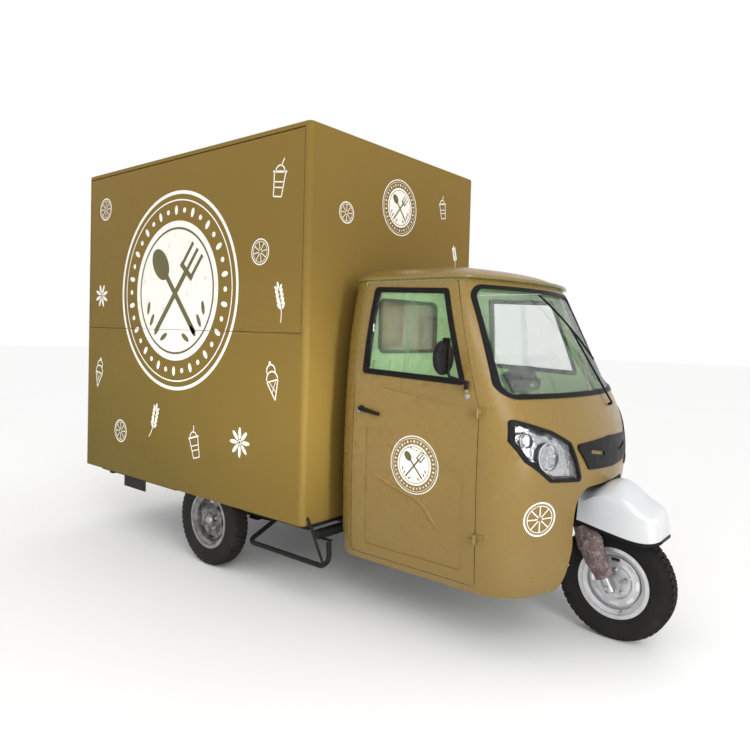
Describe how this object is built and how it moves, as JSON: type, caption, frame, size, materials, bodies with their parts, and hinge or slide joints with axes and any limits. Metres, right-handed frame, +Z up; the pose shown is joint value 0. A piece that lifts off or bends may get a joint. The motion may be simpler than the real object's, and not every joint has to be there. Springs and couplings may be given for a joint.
{
  "type": "three-wheeler food truck",
  "caption": "Three-wheeled light truck with a rounded handlebar-steered cab and a tall box body whose side lifts as a serving hatch.",
  "frame": {"origin": "centre of the footprint's bounding box, at ground level", "axes": "+X ahead, +Y to the vehicle's left, +Z up"},
  "size_m": [3.8669, 1.6464, 2.4729],
  "materials": {
    "body_paint": "satin paint, mustard olive, with pale stains and road dust",
    "box_panel": "satin mustard olive, glass-fibre faced insulated panel",
    "cab_lining": "satin pale green paint",
    "white_paint": "gloss white paint",
    "black_frame": "satin black chassis paint with dust",
    "steel": "bare steel, lightly brushed",
    "rim_silver": "silver wheel paint",
    "tyre_rubber": "moulded tyre rubber",
    "seal_rubber": "matt black rubber",
    "black_plastic": "grained black plastic",
    "glass": "clear glass with a faint tint",
    "lens": "clear moulded lens",
    "red_lens": "red moulded lens",
    "seat_cover": "black grained seat cover",
    "sleeve_film": "crumpled protective film",
    "worktop_steel": "brushed stainless steel"
  },
  "bodies": {
    "truck": {"chassis_frame": "black_frame", "box_subframe": "black_frame", "box_floor": "box_panel", "box_roof": "box_panel", "box_front_wall": "box_panel", "box_left_wall": "box_panel", "box_lower_side": "box_panel", "box_rear_wall": "box_panel", "box_corner_posts": "body_paint", "worktop": "worktop_steel", "hinge_pins": "steel", "cab_front": "body_paint", "cab_rear": "body_paint", "cab_roof": "body_paint", "cab_floor": "cab_lining", "cab_glass": "glass", "cab_seals": "seal_rubber", "headlamp_housings": "black_plastic", "headlamp_lenses": "lens", "grille": "black_plastic", "seat_cushion": "seat_cover", "seat_backrest": "seat_cover", "side_guards": "black_frame", "tail_lamps": "red_lens", "leaf_springs": "black_frame"},
    "axle": {"rear_axle": "black_frame"},
    "rear_wheel_right": {"rear_tyre_right": "tyre_rubber", "rear_rim_right": "rim_silver"},
    "rear_wheel_left": {"rear_tyre_left": "tyre_rubber", "rear_rim_left": "rim_silver"},
    "steering": {"fork_crown": "black_frame", "handlebar": "black_frame", "instrument_cluster": "black_plastic", "mudguard": "white_paint", "mudguard_trim": "seal_rubber"},
    "throttle": {"throttle_grip": "seal_rubber"},
    "fork_legs": {"fork_sliders": "steel", "fork_sleeves": "sleeve_film"},
    "front_wheel": {"front_tyre": "tyre_rubber", "front_rim": "rim_silver"},
    "right_door": {"right_door": "body_paint", "right_window_seal": "seal_rubber", "right_fixed_pane": "glass"},
    "right_window": {"right_sliding_pane": "glass"},
    "right_handle": {"right_door_handle": "black_plastic"},
    "right_mirror": {"right_mirror": "black_plastic"},
    "left_door": {"left_door": "body_paint", "left_window_seal": "seal_rubber", "left_fixed_pane": "glass"},
    "left_window": {"left_sliding_pane": "glass"},
    "left_handle": {"left_door_handle": "black_plastic"},
    "left_mirror": {"left_mirror": "black_plastic"},
    "wiper": {"wiper": "black_plastic"},
    "hatch": {"serving_hatch": "box_panel"},
    "strut_tubes": {"hatch_strut_tubes": "black_plastic"},
    "strut_rods": {"hatch_strut_rods": "steel"},
    "rear_door": {"rear_door": "box_panel"},
    "rear_handle": {"rear_door_handle": "steel"},
    "pedal": {"brake_pedal": "black_plastic"},
    "hand_brake": {"parking_brake": "black_plastic"}
  },
  "joints": [
    {"name": "rear_axle_travel", "type": "slide", "parent": "truck", "child": "axle", "axis": [0, 0, 1], "range_m": [0, 0.03], "stiffness_N_per_m": 75000, "springref_m": -0.085, "deforming": ["leaf_springs"]},
    {"name": "rear_wheel_right_spin", "type": "hinge", "parent": "axle", "child": "rear_wheel_right", "pos_m": [-0.4955, -0.694, 0.267], "axis": [0, 1, 0], "continuous": true},
    {"name": "rear_wheel_left_spin", "type": "hinge", "parent": "axle", "child": "rear_wheel_left", "pos_m": [-0.4955, 0.694, 0.267], "axis": [0, 1, 0], "continuous": true},
    {"name": "steering_turn", "type": "hinge", "parent": "truck", "child": "steering", "pos_m": [1.33106, 0, 0.81391], "axis": [-0.4617, 0, 0.887], "range_deg": [-32, 32]},
    {"name": "throttle_twist", "type": "hinge", "parent": "steering", "child": "throttle", "pos_m": [1.0803, -0.34, 1.16034], "axis": [-0.3724, -0.9199, 0.1227], "range_deg": [0, 60], "stiffness_Nm_per_rad": 0.4, "springref_deg": -17.19},
    {"name": "fork_travel", "type": "slide", "parent": "steering", "child": "fork_legs", "axis": [-0.4617, 0, 0.887], "range_m": [0, 0.06], "stiffness_N_per_m": 45000, "springref_m": -0.06},
    {"name": "front_wheel_spin", "type": "hinge", "parent": "fork_legs", "child": "front_wheel", "pos_m": [1.6665, 0, 0.267], "axis": [0, 1, 0], "continuous": true},
    {"name": "right_door_swing", "type": "hinge", "parent": "truck", "child": "right_door", "pos_m": [1.2755, -0.661, 0.8], "axis": [0, 0, 1], "range_deg": [0, 68]},
    {"name": "right_window_slide", "type": "slide", "parent": "right_door", "child": "right_window", "axis": [-0.9994, 0, 0.0349], "range_m": [0, 0.185]},
    {"name": "right_handle_turn", "type": "hinge", "parent": "right_door", "child": "right_handle", "pos_m": [0.6135, -0.648, 1.035], "axis": [0, 1, 0], "range_deg": [0, 40], "stiffness_Nm_per_rad": 1.2, "springref_deg": -22.92},
    {"name": "right_mirror_turn", "type": "hinge", "parent": "right_door", "child": "right_mirror", "pos_m": [1.2115, -0.65372, 1.172], "axis": [0, 0, 1], "range_deg": [-20, 40]},
    {"name": "left_door_swing", "type": "hinge", "parent": "truck", "child": "left_door", "pos_m": [1.2755, 0.661, 0.8], "axis": [0, 0, -1], "range_deg": [0, 68]},
    {"name": "left_window_slide", "type": "slide", "parent": "left_door", "child": "left_window", "axis": [-0.9994, 0, 0.0349], "range_m": [0, 0.185]},
    {"name": "left_handle_turn", "type": "hinge", "parent": "left_door", "child": "left_handle", "pos_m": [0.6135, 0.648, 1.035], "axis": [0, 1, 0], "range_deg": [0, 40], "stiffness_Nm_per_rad": 1.2, "springref_deg": -22.92},
    {"name": "left_mirror_turn", "type": "hinge", "parent": "left_door", "child": "left_mirror", "pos_m": [1.2115, 0.65372, 1.172], "axis": [0, 0, -1], "range_deg": [-20, 40]},
    {"name": "wiper_sweep", "type": "hinge", "parent": "truck", "child": "wiper", "pos_m": [1.54924, 0.149, 1.083], "axis": [0.8799, 0, 0.4751], "range_deg": [-25, 35]},
    {"name": "hatch_lift", "type": "hinge", "parent": "truck", "child": "hatch", "pos_m": [0, -0.77, 2.4335], "axis": [-1, 0, 0], "range_deg": [0, 82]},
    {"name": "strut_swing", "type": "hinge", "parent": "truck", "child": "strut_tubes", "pos_m": [0, -0.71, 2.3335], "axis": [-1, 0, 0], "range_deg": [0, 86]},
    {"name": "strut_stretch", "type": "slide", "parent": "strut_tubes", "child": "strut_rods", "axis": [0, -0.0712, -0.9975], "range_m": [0, 0.151]},
    {"name": "rear_door_swing", "type": "hinge", "parent": "truck", "child": "rear_door", "pos_m": [-1.9065, 0.38, 1.375], "axis": [0, 0, -1], "range_deg": [0, 100]},
    {"name": "rear_handle_turn", "type": "hinge", "parent": "rear_door", "child": "rear_handle", "pos_m": [-1.8975, -0.31, 1.26], "axis": [-1, 0, 0], "range_deg": [0, 45], "stiffness_Nm_per_rad": 1.2, "springref_deg": -22.92},
    {"name": "brake_pedal_press", "type": "hinge", "parent": "truck", "child": "pedal", "pos_m": [1.1945, -0.17, 0.64], "axis": [0, -1, 0], "range_deg": [0, 16], "stiffness_Nm_per_rad": 40, "springref_deg": -11.46},
    {"name": "hand_brake_pull", "type": "hinge", "parent": "truck", "child": "hand_brake", "pos_m": [1.0445, 0.56, 0.4603], "axis": [0, 1, 0], "range_deg": [0, 35]}
  ],
  "couplings": [
    {"joint": "strut_swing", "follows": "hatch_lift", "ratio": 1.045},
    {"joint": "strut_stretch", "follows": "hatch_lift", "m_per_rad": 0.1046}
  ]
}
